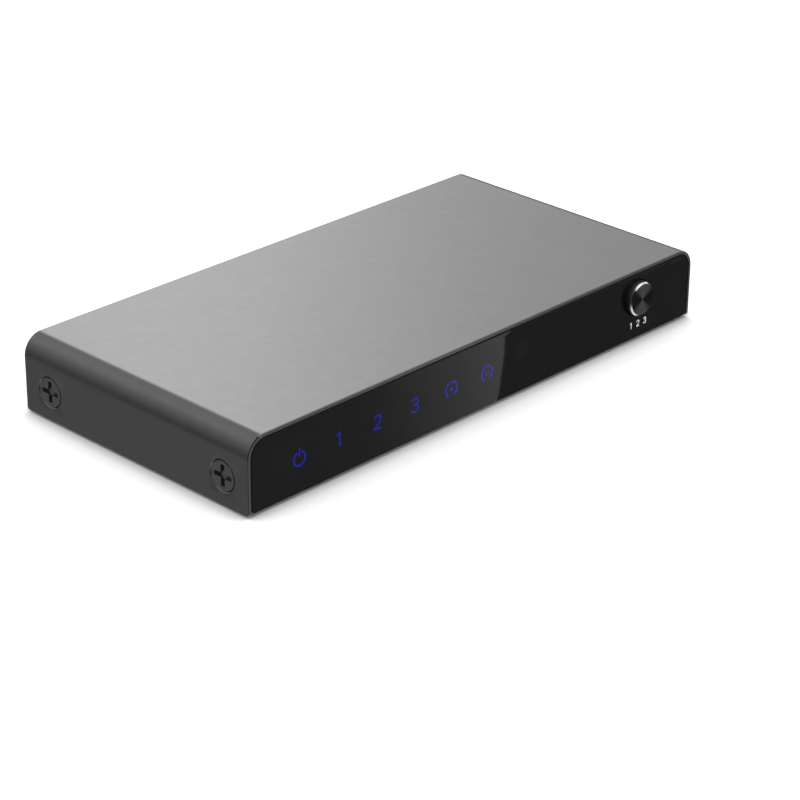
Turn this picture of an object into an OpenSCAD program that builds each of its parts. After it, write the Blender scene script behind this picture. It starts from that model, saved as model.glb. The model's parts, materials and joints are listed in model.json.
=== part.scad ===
// Video switch box: a low sheet-metal case with a gloss black front, six lit
// legends, an infrared window and one round select button. Millimetres.
// +Z is up, the front faces -Y, and z = 0 is the surface that the feet stand on.

/* [Case] */
// Width of the case across the front
case_w = 126; // [124:1:130]
// Depth of the case from front edge to rear edge
case_d = 62.5; // [62:0.5:66]
// Height of the cover from its lower edge to its top
case_h = 15.5; // [15.3:0.1:17]
// Outer radius of the two long top edges
corner_r = 4.25; // [3.5:0.05:5]
// Thickness of the cover sheet
cover_t = 0.7; // [0.7:0.1:1.0]
// Gap between the cover's lower edge and the table
lift = 0.4; // [0.3:0.1:0.6]
// Radius on the lower front and rear corners of the cover's sides
cover_foot_r = 0.7; // [0.4:0.1:1.2]

/* [Base tray] */
// Thickness of the base tray sheet
tray_t = 1.0; // [0.8:0.1:1.0]
// Outside bend radius of the base tray
tray_bend_r = 1.2; // [1.1:0.1:1.4]
// Height of the tray's underside above the table
tray_z = 1.4; // [1.2:0.1:1.6]

/* [Side screws] */
// Distance of the front side screw behind the middle of the case (negative is forward)
screw_y_front = -24.5; // [-26.5:0.1:-24]
// Distance of the rear side screw behind the middle of the case
screw_y_rear = 23.9; // [22:0.1:25]
// Height of the side screws above the cover's lower edge
screw_h = 6.0; // [5.9:0.05:7.5]
// Diameter of the countersink at the cover's face
sink_d = 6.6; // [6.2:0.1:7]

/* [Front panel] */
// Thickness of the front panel
panel_t = 2.0; // [1.8:0.1:2]
// Gap all round the front panel
panel_gap = 0.2; // [0.1:0.05:0.3]
// Height of the panel's lower edge above the cover's lower edge
panel_rise = 0.3; // [0.05:0.05:0.5]
// Place of the first legend from the middle of the case
legend_x0 = -50.25; // [-51:0.05:-48]
// Distance from one legend to the next
legend_pitch = 10.05; // [9.5:0.05:10.5]
// Height of the legends above the cover's lower edge
legend_h = 7.5; // [7:0.05:7.6]
// Place of the infrared window from the middle of the case
ir_x = 9.9; // [9:0.1:12]
// Height of the infrared window above the cover's lower edge
ir_h = 9.05; // [8.2:0.05:9.4]

/* [Select button] */
// Place of the button's axis from the middle of the case
button_x = 45.5; // [42:0.1:48]
// Height of the button's axis above the cover's lower edge
button_h = 9.35; // [9.3:0.05:9.6]
// Diameter of the button cap
button_d = 7.4; // [6.8:0.1:7.6]
// How far the cap stands out in front of the panel
button_proud = 1.5; // [1.2:0.1:2.6]
// Width of the cut bevel round the cap's face
button_bevel = 0.35; // [0.2:0.05:0.5]
// Depth of the cut bevel
button_bevel_depth = 0.3; // [0.2:0.05:0.5]

/* [Sockets] */
// Place of the middle one of the three input sockets
socket_mid_x = -5; // [-7:0.5:-3]
// Distance from one input socket to the next
socket_pitch = 23; // [22:0.5:24]
// Place of the output socket
socket_out_x = 44; // [42:0.5:46]
// How far the video sockets stand out behind the case
socket_proud = 1.0; // [0.6:0.1:1.4]
// Place of the power jack
jack_x = -50; // [-51:0.5:-48]
// Bore of the power jack
jack_bore_d = 3.9; // [3.7:0.1:4]
// Diameter of the power jack's centre pin
jack_pin_d = 1.3; // [1.2:0.05:1.35]

/* [Hidden] */
$fn = 72;
hw = case_w / 2;
hd = case_d / 2;
z0 = lift;
z1 = lift + case_h;
zi = z1 - cover_t;              // underside of the cover's top
screw_z = z0 + screw_h;
sink_r = sink_d / 2;
screw_ys = [screw_y_front, screw_y_rear];
panel_y0 = -hd + 0.05;          // front face of the panel
panel_y1 = panel_y0 + panel_t;
tape_t = 0.15;
front_y0 = panel_y1 + tape_t;   // front face of the tray's front flange
front_y1 = front_y0 + tray_t;
rear_y1 = hd - 0.4;             // rear face of the rear panel
rear_y0 = rear_y1 - tray_t;
tray_x = hw - cover_t - 0.15;   // outer face of the tray's side flanges
floor_z = tray_z + tray_t;      // inside floor of the tray
front_x = tray_x - 3.25;        // half width of the tray's front flange
tab_xs = [-45, 0, 45];
side_top = 11.5;
board_t = 1.6;
board_z0 = floor_z + 3.0;
board_z1 = board_z0 + board_t;
board_x = hw - 5;
board_y0 = front_y1 + 3.2;
board_y1 = rear_y0 - 0.8;
post_xs = [-(hw - 10), hw - 10];
post_ys = [-17, 14];
legend_z = z0 + legend_h;
legend_xs = [for (i = [0:5]) legend_x0 + i * legend_pitch];
ir_z = z0 + ir_h;
button_z = z0 + button_h;
button_r = button_d / 2;
cap_y0 = panel_y0 - button_proud;
cap_y1 = panel_y0 + 1.3;
shaft_r = button_r - 0.1;
guide_r = button_r + 0.2;
plunger_y = front_y1 + 0.3;     // front face of the retaining disc
touch_y = plunger_y + 3.4;      // where the plunger meets the switch stem
switch_y0 = touch_y + 2.1;      // front face of the switch base
socket_y1 = hd + socket_proud;
socket_y0 = socket_y1 - 11;
socket_xs = [socket_mid_x - socket_pitch, socket_mid_x, socket_mid_x + socket_pitch, socket_out_x];
socket_z0 = board_z1;
tongue_z = socket_z0 + 2.95;
jack_z = board_z1 + 3.2;
jack_y1 = hd + 0.6;
jack_floor = jack_y1 - 9.5;

// ---- shared shapes ----

// A flat outline in X and Z, carried along Y from y0 to y1
module along_y(y0, y1) { translate([0, y1, 0]) rotate([90, 0, 0]) linear_extrude(y1 - y0) children(); }

// A flat outline in Y and Z, carried along X from x0 to x1
module along_x(x0, x1) { translate([x0, 0, 0]) rotate([90, 0, 90]) linear_extrude(x1 - x0) children(); }

// A rod along Y from y0 to y1
module rod_y(x, z, y0, y1, r) { translate([x, y1, z]) rotate([90, 0, 0]) cylinder(h = y1 - y0, r = r); }

// A turned piece on an axis along Y: the outline is given as radius and depth behind y
module turned_y(x, y, z) { translate([x, y, z]) rotate([-90, 0, 0]) rotate_extrude() children(); }

// A box from one corner to the other
module span(a, b) { translate(a) cube([b[0] - a[0], b[1] - a[1], b[2] - a[2]]); }

// A rectangle with round top corners and round bottom corners
module plate2(x0, x1, a0, a1, rt, rb) {
    mid = (a0 + a1) / 2;
    translate([x0, a0 + rb]) square([x1 - x0, a1 - a0 - rt - rb]);
    translate([x0 + rt, mid]) square([x1 - x0 - 2 * rt, a1 - mid]);
    translate([x0 + rb, a0]) square([x1 - x0 - 2 * rb, mid - a0]);
    for (x = [x0 + rt, x1 - rt]) translate([x, a1 - rt]) circle(r = rt);
    for (x = [x0 + rb, x1 - rb]) translate([x, a0 + rb]) circle(r = rb);
}

// Both sides of the case, the screw axes pointing out along +X and -X
module each_side_screw() {
    for (s = [0, 1]) mirror([s, 0, 0]) for (y = screw_ys)
        translate([hw, y, screw_z]) rotate([0, 90, 0]) children();
}

// A waste piece that leaves a rounded lower corner on the cover's side
module foot_corner(y, dir) {
    r = cover_foot_r;
    difference() {
        span([-hw - 1, min(y, y + dir * r) - (dir > 0 ? 1 : 0), z0 - 1], [hw + 1, max(y, y + dir * r) + (dir > 0 ? 0 : 1), z0 + r]);
        translate([-hw - 2, y + dir * r, z0 + r]) rotate([0, 90, 0]) cylinder(h = case_w + 4, r = r);
    }
}

// Gull-wing chip: a body with a row of feet on two sides
module two_row_chip(x, y, w, d, h, n, pitch) {
    translate([x, y, board_z1]) {
        span([-w / 2, -d / 2, 0.1], [w / 2, d / 2, h]);
        for (i = [0:n - 1], s = [0, 1]) mirror([0, s, 0]) translate([(i - (n - 1) / 2) * pitch, 0, 0]) {
            span([-0.2, d / 2 - 0.2, h * 0.45], [0.2, d / 2 + 0.5, h * 0.45 + 0.2]);
            span([-0.2, d / 2 + 0.3, 0], [0.2, d / 2 + 0.5, h * 0.45 + 0.2]);
            span([-0.2, d / 2 + 0.3, 0], [0.2, d / 2 + 1.1, 0.2]);
        }
    }
}

// ---- case ----

module top_cover() color([0.36, 0.37, 0.38]) difference() {
    along_y(-hd, hd) difference() {
        plate2(-hw, hw, z0 - 6, z1, corner_r, 1);
        translate([0, -2]) plate2(-hw + cover_t, hw - cover_t, z0 - 10, zi + 2, corner_r - cover_t, 1);
        translate([-hw - 1, z0 - 8]) square([case_w + 2, 8]);
    }
    foot_corner(-hd, 1);
    foot_corner(hd, -1);
    each_side_screw() translate([0, 0, -cover_t - 0.2])
        cylinder(h = cover_t + 0.7, r1 = sink_r - cover_t - 0.2, r2 = sink_r + 0.5);
}

// Bent edge of the tray in Y and Z: floor, bend and upright flange
module bent_edge(y_out, dir, y_in, top) {
    r = tray_bend_r;
    yc = y_out + dir * r;
    translate([min(yc, y_in), tray_z]) square([abs(y_in - yc), tray_t]);
    intersection() {
        translate([yc, tray_z + r]) difference() { circle(r = r); circle(r = r - tray_t); }
        translate([min(y_out, yc), tray_z]) square([r, r]);
    }
    translate([min(y_out, y_out + dir * tray_t), tray_z + r]) square([tray_t, top - tray_z - r]);
}

module tray_channel() {
    r = tray_bend_r;
    translate([-tray_x + r, tray_z]) square([2 * (tray_x - r), tray_t]);
    for (s = [0, 1]) mirror([s, 0]) {
        intersection() {
            translate([tray_x - r, tray_z + r]) difference() { circle(r = r); circle(r = r - tray_t); }
            translate([tray_x - r, tray_z]) square([r, r]);
        }
        translate([tray_x - tray_t, tray_z + r]) square([tray_t, side_top - tray_z - r]);
    }
}

// Points of a round corner at b, between the straight runs from a and to c
function corner_arc(a, b, c, r) =
    let (u = (a - b) / norm(a - b), v = (c - b) / norm(c - b), half = acos(u * v) / 2,
         m = b + (u + v) / norm(u + v) * r / sin(half),
         p = b + u * r / tan(half) - m, q = b + v * r / tan(half) - m,
         a0 = atan2(p[1], p[0]), d = atan2(q[1], q[0]) - a0,
         turn = d > 180 ? d - 360 : d < -180 ? d + 360 : d)
    [for (i = [0:5]) m + r * [cos(a0 + turn * i / 5), sin(a0 + turn * i / 5)]];

// Outline of a video socket in X and Z, wide side up, grown by g, with corners of radius r
module socket_outline(g, r) {
    zb = socket_z0 + 0.4;
    p = [[-7 - g, zb + 4.55 + g], [7 + g, zb + 4.55 + g], [7 + g, zb + 1.95 - 0.4 * g],
         [5.2 + 0.5 * g, zb - g], [-5.2 - 0.5 * g, zb - g], [-7 - g, zb + 1.95 - 0.4 * g]];
    polygon([for (i = [0:5]) each corner_arc(p[(i + 5) % 6], p[i], p[(i + 1) % 6], r)]);
}

module base_tray() color([0.33, 0.34, 0.35]) difference() {
    union() {
        along_y(front_y0 + tray_bend_r, rear_y0 - 0.3) tray_channel();
        // side flanges, running on to the front beside the front flange
        intersection() {
            along_y(front_y0 + 0.2, 0) tray_channel();
            for (s = [0, 1]) mirror([s, 0, 0]) span([tray_x - 2.9, front_y0, 0], [tray_x + 1, 1, side_top + 1]);
        }
        // floor under the rear panel
        span([-tray_x + 1.5, rear_y0 - 2, tray_z], [tray_x - 1.5, rear_y1, floor_z]);
        intersection() {
            along_x(-front_x, front_x) bent_edge(front_y0, 1, 0, zi - 0.8);
            along_y(front_y0 - 1, 1) plate2(-front_x, front_x, tray_z - 5, zi - 0.8, 2.5, 1);
        }
    }
    // legend windows, infrared hole and button hole in the front flange
    for (x = legend_xs) span([x - 3.6, front_y0 - 1, legend_z - 2.5], [x + 3.6, front_y1 + 0.5, legend_z + 2.5]);
    rod_y(ir_x, ir_z, front_y0 - 1, front_y1 + 0.5, 3.2);
    rod_y(button_x, button_z, front_y0 - 1, front_y1 + 0.5, guide_r);
    // notches for the rear panel's tabs
    for (x = tab_xs) span([x - 4.05, rear_y0 - 0.05, tray_z - 1], [x + 4.05, rear_y1 + 1, floor_z + 1]);
    // pressed-in fasteners
    for (x = post_xs, y = post_ys) translate([x, y, tray_z - 1]) cylinder(h = tray_t + 2, r = 2.13);
    each_side_screw() translate([0, 0, -4]) cylinder(h = 3.5, r = 2.13);
}

// Flat plate with the socket windows and the jack hole, staked to the tray by three tabs
module rear_panel() color([0.33, 0.34, 0.35]) difference() {
    along_y(rear_y0, rear_y1) {
        plate2(-hw + cover_t + 0.3, hw - cover_t - 0.3, floor_z, zi - 0.2, corner_r - cover_t, 0.6);
        for (x = tab_xs) translate([x - 4, tray_z]) square([8, tray_t + 0.5]);
    }
    for (x = socket_xs) translate([x, 0, 0]) along_y(rear_y0 - 0.5, rear_y1 + 1) socket_outline(0.65, 1.1);
    rod_y(jack_x, jack_z, rear_y0 - 0.5, rear_y1 + 1, 3.2);
}

module front_panel() color([0.03, 0.03, 0.035]) difference() {
    along_y(panel_y0, panel_y1)
        plate2(-hw + cover_t + panel_gap, hw - cover_t - panel_gap, z0 + panel_rise, zi - panel_gap, corner_r - cover_t - panel_gap, 0.8);
    rod_y(button_x, button_z, panel_y0 - 1, panel_y1 + 1, guide_r);
}

module panel_tape() color([0.1, 0.1, 0.1]) difference() {
    along_y(panel_y1, front_y0)
        plate2(-front_x + 0.2, front_x - 0.2, tray_z + 2, zi - 1.6, 2, 1);
    span([legend_xs[0] - 4.2, panel_y1 - 1, legend_z - 3], [legend_xs[5] + 4.2, front_y0 + 1, legend_z + 3]);
    rod_y(ir_x, ir_z, panel_y1 - 1, front_y0 + 1, 3.6);
    rod_y(button_x, button_z, panel_y1 - 1, front_y0 + 1, guide_r + 0.4);
}

// Countersunk screws with a cross recess, heads just under the cover's face
module side_screws() color([0.3, 0.3, 0.31]) each_side_screw() difference() {
    union() {
        translate([0, 0, -cover_t]) cylinder(h = cover_t - 0.08, r1 = sink_r - cover_t - 0.05, r2 = sink_r - 0.13);
        translate([0, 0, -4.2]) cylinder(h = 4.2 - cover_t + 0.1, r = 1.45);
    }
    for (a = [0, 90]) rotate([0, 0, a]) translate([-2.2, -0.5, 0.15 - cover_t]) cube([4.4, 1.0, 2]);
    translate([0, 0, -1.9]) cylinder(h = 1.8, r1 = 0.3, r2 = 0.95);
}

module clinch_nuts() color([0.72, 0.72, 0.7]) each_side_screw()
    translate([0, 0, tray_x - hw]) difference() {
        union() {
            translate([0, 0, -tray_t - 1.5]) cylinder(h = 1.5, r = 3.1);
            translate([0, 0, -tray_t - 0.1]) cylinder(h = tray_t, r = 2.1);
        }
        translate([0, 0, -tray_t - 2]) cylinder(h = 4, r = 1.5);
    }

module rubber_feet() color([0.08, 0.08, 0.08])
    for (x = [-(hw - 14), hw - 14], y = [-22, 22]) translate([x, y, 0]) rotate_extrude()
        polygon([[0, 0], [3.7, 0], [4.2, 0.5], [4.2, tray_z], [0, tray_z]]);

// ---- board ----

module main_board() color([0.05, 0.32, 0.16]) difference() {
    translate([0, 0, board_z0]) linear_extrude(board_t) plate2(-board_x, board_x, board_y0, board_y1, 1.5, 1.5);
    for (x = post_xs, y = post_ys) translate([x, y, board_z0 - 1]) cylinder(h = board_t + 2, r = 1.6);
    for (i = [-1:1]) translate([ir_x + i * 2.54, board_y0 + 2.2, board_z0 - 1]) cylinder(h = board_t + 2, r = 0.45);
}

module board_standoffs() color([0.75, 0.75, 0.72]) for (x = post_xs, y = post_ys) translate([x, y, 0]) difference() {
    union() {
        translate([0, 0, floor_z]) cylinder(h = board_z0 - floor_z, r = 2.75);
        translate([0, 0, tray_z]) cylinder(h = tray_t + 0.1, r = 2.1);
    }
    translate([0, 0, floor_z - 0.2]) cylinder(h = board_z0 - floor_z + 1, r = 1.5);
}

module board_screws() color([0.78, 0.78, 0.76]) for (x = post_xs, y = post_ys) translate([x, y, 0]) difference() {
    union() {
        translate([0, 0, board_z1]) cylinder(h = 1.3, r = 2.75);
        translate([0, 0, board_z1 + 1.3]) cylinder(h = 0.5, r1 = 2.75, r2 = 2.1);
        translate([0, 0, floor_z + 0.4]) cylinder(h = board_z1 - floor_z, r = 1.45);
    }
    for (a = [0, 90]) rotate([0, 0, a]) translate([-1.6, -0.3, board_z1 + 0.9]) cube([3.2, 0.6, 2]);
}

// ---- video sockets ----

module socket_shell(x) color([0.75, 0.74, 0.7]) translate([x, 0, 0]) difference() {
    along_y(socket_y0, socket_y1) socket_outline(0.4, 0.9);
    along_y(socket_y0 - 1, socket_y1 + 1) socket_outline(0, 0.5);
}

module socket_insert(x) color([0.05, 0.05, 0.05]) translate([x, 0, 0]) {
    along_y(socket_y0 + 0.2, socket_y0 + 3.2) socket_outline(-0.05, 0.5);
    span([-5.5, socket_y0 + 3.1, tongue_z - 0.6], [5.5, socket_y1 - 1.5, tongue_z + 0.6]);
}

module video_in_1_shell() socket_shell(socket_xs[0]);
module video_in_2_shell() socket_shell(socket_xs[1]);
module video_in_3_shell() socket_shell(socket_xs[2]);
module video_out_shell() socket_shell(socket_xs[3]);
module video_in_1_insert() socket_insert(socket_xs[0]);
module video_in_2_insert() socket_insert(socket_xs[1]);
module video_in_3_insert() socket_insert(socket_xs[2]);
module video_out_insert() socket_insert(socket_xs[3]);

// Ten contacts on top of each tongue and nine below, half a pitch apart
module video_contacts() color([0.83, 0.68, 0.3]) for (x = socket_xs) {
    for (i = [0:9]) translate([x + i - 4.5, 0, tongue_z + 0.6])
        span([-0.2, socket_y0 + 3.2, 0], [0.2, socket_y1 - 2, 0.12]);
    for (i = [0:8]) translate([x + i - 4, 0, tongue_z - 0.72])
        span([-0.2, socket_y0 + 3.2, 0], [0.2, socket_y1 - 2, 0.12]);
}

// ---- power jack ----

module dc_jack_body() color([0.05, 0.05, 0.05]) difference() {
    union() {
        span([jack_x - 3.2, jack_floor - 1.6, board_z1], [jack_x + 3.2, rear_y0 - 0.2, jack_z + 3.2]);
        rod_y(jack_x, jack_z, rear_y0 - 1, jack_y1, 3.0);
    }
    rod_y(jack_x, jack_z, jack_floor, jack_y1 + 1, jack_bore_d / 2);
    rod_y(jack_x, jack_z, jack_floor - 3, jack_floor + 1, 0.43);
}

// Centre pin, thinner where the body holds it, with a blunt tip
module dc_jack_pin() color([0.8, 0.78, 0.72]) {
    r = jack_pin_d / 2;
    turned_y(jack_x, jack_floor - 2.2, jack_z)
        polygon([[0, 0], [0.4, 0], [0.4, 2.2], [r, 2.2], [r, 10.3], [r - 0.2, 10.7], [0, 10.7]]);
}

module dc_jack_terminals() color([0.75, 0.74, 0.7]) {
    span([jack_x - 1.3, jack_floor - 2.0, board_z1], [jack_x + 1.3, jack_floor - 1.6, jack_z - 0.9]);
    for (s = [0, 1]) translate([jack_x, 0, 0]) mirror([s, 0, 0])
        span([3.2, jack_floor + 1, board_z1], [3.5, jack_floor + 3.4, board_z1 + 3]);
}

// ---- front electronics ----

module ir_receiver() color([0.06, 0.05, 0.06]) {
    y = board_y0 - 1.2;
    span([ir_x - 2.9, y, board_z1 + 0.3], [ir_x + 2.9, y + 2.8, ir_z + 3.0]);
    rod_y(ir_x, ir_z, y - 0.4, y + 0.1, 2.2);
    intersection() {
        translate([ir_x, y - 0.4, ir_z]) sphere(r = 2.2);
        span([ir_x - 3, y - 2.7, ir_z - 3], [ir_x + 3, y - 0.3, ir_z + 3]);
    }
}

module ir_receiver_leads() color([0.78, 0.78, 0.76]) for (i = [-1:1])
    translate([ir_x + i * 2.2 , board_y0 + 1.2, 0]) {
        dx = i * 0.34;
        span([min(0, dx) - 0.2, -0.2, board_z1 + 0.05], [max(0, dx) + 0.2, 0.2, board_z1 + 0.3]);
        span([dx - 0.2, -0.2, board_z1 + 0.05], [dx + 0.2, 1.2, board_z1 + 0.3]);
        span([dx - 0.2, 0.8, board_z0 - 0.8], [dx + 0.2, 1.2, board_z1 + 0.3]);
    }

module status_leds() color([0.9, 0.9, 0.85]) for (x = legend_xs) translate([x, board_y0 + 0.1, board_z1]) {
    span([-0.85, 0.3, 0], [0.85, 1.1, 0.8]);
    translate([0, 0.4, 0]) cylinder(h = 0.8, r = 0.4);
}

// Black block that keeps the light of each legend apart
module light_block() color([0.07, 0.07, 0.07]) difference() {
    span([legend_xs[0] - 4.6, front_y1, legend_z - 3.2], [legend_xs[5] + 4.6, board_y0 - 0.2, legend_z + 3.2]);
    for (x = legend_xs) span([x - 3.4, front_y1 - 1, legend_z - 2.3], [x + 3.4, board_y0 + 1, legend_z + 2.3]);
}

// ---- select button ----

// Turned metal cap, hollow behind, with a cut bevel round its face
module select_button_cap() color([0.3, 0.3, 0.31]) turned_y(button_x, cap_y0, button_z)
    polygon([[0, 0], [button_r - button_bevel, 0], [button_r, button_bevel_depth], [button_r, cap_y1 - cap_y0],
             [button_r - 0.65, cap_y1 - cap_y0], [button_r - 0.65, 0.9], [0, 0.9]]);

// Plastic plunger: spigot in the cap, shaft through the panel, retaining disc and nose
module select_button_plunger() color([0.09, 0.09, 0.09]) turned_y(button_x, cap_y0, button_z)
    polygon([[0, 0.95], [button_r - 0.7, 0.95], [button_r - 0.7, cap_y1 - cap_y0], [shaft_r, cap_y1 - cap_y0],
             [shaft_r, plunger_y - cap_y0], [4.5, plunger_y - cap_y0], [4.5, plunger_y + 0.8 - cap_y0],
             [1.5, plunger_y + 0.8 - cap_y0], [1.5, touch_y - cap_y0], [0, touch_y - cap_y0]]);

module tact_switch_base() color([0.06, 0.06, 0.06]) difference() {
    span([button_x - 3, switch_y0, board_z1], [button_x + 3, switch_y0 + 3, button_z + 2.85]);
    rod_y(button_x, button_z, switch_y0 - 1, switch_y0 + 1.6, 2.45);
}

// Sheet bracket over the switch, with a leg down each side
module tact_switch_frame() color([0.78, 0.78, 0.76]) difference() {
    span([button_x - 3.35, switch_y0 - 0.3, board_z1], [button_x + 3.35, switch_y0 + 2.4, button_z + 2.85]);
    span([button_x - 3.05, switch_y0, board_z1 - 1], [button_x + 3.05, switch_y0 + 4, button_z + 4]);
    rod_y(button_x, button_z, switch_y0 - 1, switch_y0 + 1, 1.95);
}

module tact_switch_stem() color([0.85, 0.85, 0.83]) turned_y(button_x, touch_y, button_z)
    polygon([[0, 0], [1.7, 0], [1.7, switch_y0 + 0.05 - touch_y], [2.2, switch_y0 + 0.05 - touch_y],
             [2.2, switch_y0 + 0.75 - touch_y], [0, switch_y0 + 0.75 - touch_y]]);

// Snap dome between the stem and the floor of the switch
module tact_switch_dome() color([0.8, 0.78, 0.72]) turned_y(button_x, switch_y0, button_z)
    polygon(concat([for (i = [0:6]) [2.2 * i / 6, 0.8 + 0.7 * pow(i / 6, 2)]],
                   [for (i = [6:-1:0]) [2.2 * i / 6, 0.9 + 0.7 * pow(i / 6, 2)]]));

// ---- other electronics ----

module switch_chip() color([0.07, 0.07, 0.08]) translate([8, 4, board_z1]) {
    span([-5, -5, 0.1], [5, 5, 1.4]);
    for (a = [0:3]) rotate([0, 0, 90 * a]) for (i = [0:11]) translate([(i - 5.5) * 0.8, 0, 0]) {
        span([-0.18, 4.8, 0.6], [0.18, 5.5, 0.75]);
        span([-0.18, 5.35, 0], [0.18, 5.5, 0.75]);
        span([-0.18, 5.35, 0], [0.18, 6.1, 0.15]);
    }
}

module microcontroller() color([0.07, 0.07, 0.08]) two_row_chip(-24, -10, 12.8, 7.5, 2.3, 10, 1.27);

module voltage_regulator() color([0.07, 0.07, 0.08]) translate([-40, 8, board_z1]) {
    span([-3.25, -1.75, 0.1], [3.25, 1.75, 1.7]);
    span([-1.5, 1.6, 0], [1.5, 3.5, 0.3]);
    for (x = [-2.3, 0, 2.3]) span([x - 0.35, -3.5, 0], [x + 0.35, -1.6, 0.3]);
}

module crystal() color([0.78, 0.78, 0.76]) translate([-8, -11, board_z1]) {
    linear_extrude(0.5) plate2(-5.7, 5.7, -2.4, 2.4, 2.3, 2.3);
    linear_extrude(3.5) plate2(-5.1, 5.1, -1.8, 1.8, 1.7, 1.7);
}

module power_inductor() color([0.2, 0.2, 0.21]) translate([-30, 8, board_z1]) {
    linear_extrude(0.8) plate2(-3, 3, -3, 3, 0.8, 0.8);
    translate([0, 0, 0.7]) cylinder(h = 1.7, r = 2.6);
    translate([0, 0, 2.3]) linear_extrude(0.7) plate2(-3, 3, -3, 3, 0.8, 0.8);
}

module electrolytic_capacitors() color([0.8, 0.8, 0.8]) for (p = [[-50, 1], [-42, -3], [28, -10]])
    translate([p[0], p[1], board_z1]) {
        linear_extrude(0.8) plate2(-2.6, 2.6, -2.6, 2.6, 0.9, 0.3);
        translate([0, 0, 0.7]) cylinder(h = 4.7, r = 2.5);
    }

module chip_capacitors() color([0.72, 0.6, 0.45]) {
    for (i = [0:5]) translate([-1 + i * 3.4, -4.5, board_z1]) span([-0.8, -0.4, 0], [0.8, 0.4, 0.8]);
    for (i = [0:5]) translate([-1 + i * 3.4, 12.5, board_z1]) span([-0.8, -0.4, 0], [0.8, 0.4, 0.8]);
    for (i = [0:3]) translate([-34 + i * 3, -1, board_z1]) span([-0.8, -0.4, 0], [0.8, 0.4, 0.8]);
}

module chip_resistors() color([0.1, 0.1, 0.1]) {
    for (x = legend_xs) translate([x, board_y0 + 3.4, board_z1]) span([-0.8, -0.4, 0], [0.8, 0.4, 0.5]);
    for (i = [0:7]) translate([20 + i * 2.4, 2, board_z1]) span([-0.4, -0.8, 0], [0.4, 0.8, 0.5]);
}

module surge_arrays() color([0.08, 0.08, 0.08]) for (x = socket_xs, i = [-1, 1])
    translate([x + i * 3, socket_y0 - 3, board_z1]) span([-1.25, -0.5, 0], [1.25, 0.5, 0.6]);

// ---- assembly ----

top_cover();
base_tray();
rear_panel();
front_panel();
panel_tape();
side_screws();
clinch_nuts();
rubber_feet();
main_board();
board_standoffs();
board_screws();
video_in_1_shell();
video_in_2_shell();
video_in_3_shell();
video_out_shell();
video_in_1_insert();
video_in_2_insert();
video_in_3_insert();
video_out_insert();
video_contacts();
dc_jack_body();
dc_jack_pin();
dc_jack_terminals();
ir_receiver();
ir_receiver_leads();
status_leds();
light_block();
select_button_cap();
select_button_plunger();
tact_switch_base();
tact_switch_frame();
tact_switch_stem();
tact_switch_dome();
switch_chip();
microcontroller();
voltage_regulator();
crystal();
power_inductor();
electrolytic_capacitors();
chip_capacitors();
chip_resistors();
surge_arrays();
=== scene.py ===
import json
import math

import bmesh
import bpy
import numpy as np
from mathutils import Matrix, Vector


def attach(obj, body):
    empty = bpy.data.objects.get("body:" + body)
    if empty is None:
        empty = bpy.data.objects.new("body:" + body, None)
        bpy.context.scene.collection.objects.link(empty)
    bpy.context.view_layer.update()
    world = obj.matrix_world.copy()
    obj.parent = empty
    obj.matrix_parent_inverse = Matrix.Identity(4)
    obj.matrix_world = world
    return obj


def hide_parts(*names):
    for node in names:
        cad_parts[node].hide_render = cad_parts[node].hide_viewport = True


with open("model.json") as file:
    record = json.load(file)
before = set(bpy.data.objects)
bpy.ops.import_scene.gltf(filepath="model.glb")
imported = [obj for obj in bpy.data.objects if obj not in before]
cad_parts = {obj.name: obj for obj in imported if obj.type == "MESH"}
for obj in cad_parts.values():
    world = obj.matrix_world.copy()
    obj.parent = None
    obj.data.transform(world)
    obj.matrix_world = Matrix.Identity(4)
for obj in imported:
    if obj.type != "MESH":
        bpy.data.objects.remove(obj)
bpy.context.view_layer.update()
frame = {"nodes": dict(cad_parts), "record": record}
scene = bpy.context.scene
nodes_of = frame["nodes"]
MM = 0.001

# ---------------------------------------------------------------- sizes, mm
HW, HD = 63.0, 31.25                # half width and half depth of the case
Z0, Z1 = 0.4, 15.9                  # lower edge and top of the cover
T, R = 0.7, 4.25                    # cover sheet, radius of its long top edges
PANEL_Y0, PANEL_Y1 = -31.2, -29.2
SCREW_YS, SCREW_Z, SINK_R = (-24.5, 23.9), 6.4, 3.3
LEGEND_XS = [-50.25 + 10.05 * i for i in range(6)]
LEGEND_Z = 7.9
IR_X, IR_Z = 9.9, 9.45
BTN_X, BTN_Z = 45.5, 9.75
REAR_Y = 30.85
SOCKET_XS = (-28.0, -5.0, 18.0, 44.0)
SOCKET_Y0, SOCKET_Y1, SOCKET_Z = 21.25, 32.25, 7.4

# viewpoint: turn and rise in degrees, then millimetres
az, el, roll = math.radians(-46.3433), math.radians(25.9450), math.radians(0.5886)
BACK = Vector((math.sin(az) * math.cos(el), -math.cos(az) * math.cos(el), math.sin(el)))
r0 = Vector((0, 0, 1)).cross(BACK).normalized()
u0 = BACK.cross(r0)
RIGHT = r0 * math.cos(roll) + u0 * math.sin(roll)
UP = u0 * math.cos(roll) - r0 * math.sin(roll)
EYE = RIGHT * 7.3651 + UP * -8.7638 + BACK * 525.2014 + Vector((0, 2.17685, 0.4))


# ---------------------------------------------------------------- materials
def new_material(name):
    m = bpy.data.materials.new(name)
    m.use_nodes = True
    nt = m.node_tree
    nt.nodes.clear()
    out = nt.nodes.new("ShaderNodeOutputMaterial")
    bsdf = nt.nodes.new("ShaderNodeBsdfPrincipled")
    nt.links.new(bsdf.outputs[0], out.inputs["Surface"])
    return m, nt, bsdf


def coords(nt, stretch=(1, 1, 1)):
    tc = nt.nodes.new("ShaderNodeTexCoord")
    mp = nt.nodes.new("ShaderNodeMapping")
    mp.inputs["Scale"].default_value = stretch
    nt.links.new(tc.outputs["Object"], mp.inputs["Vector"])
    return mp.outputs["Vector"]


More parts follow.
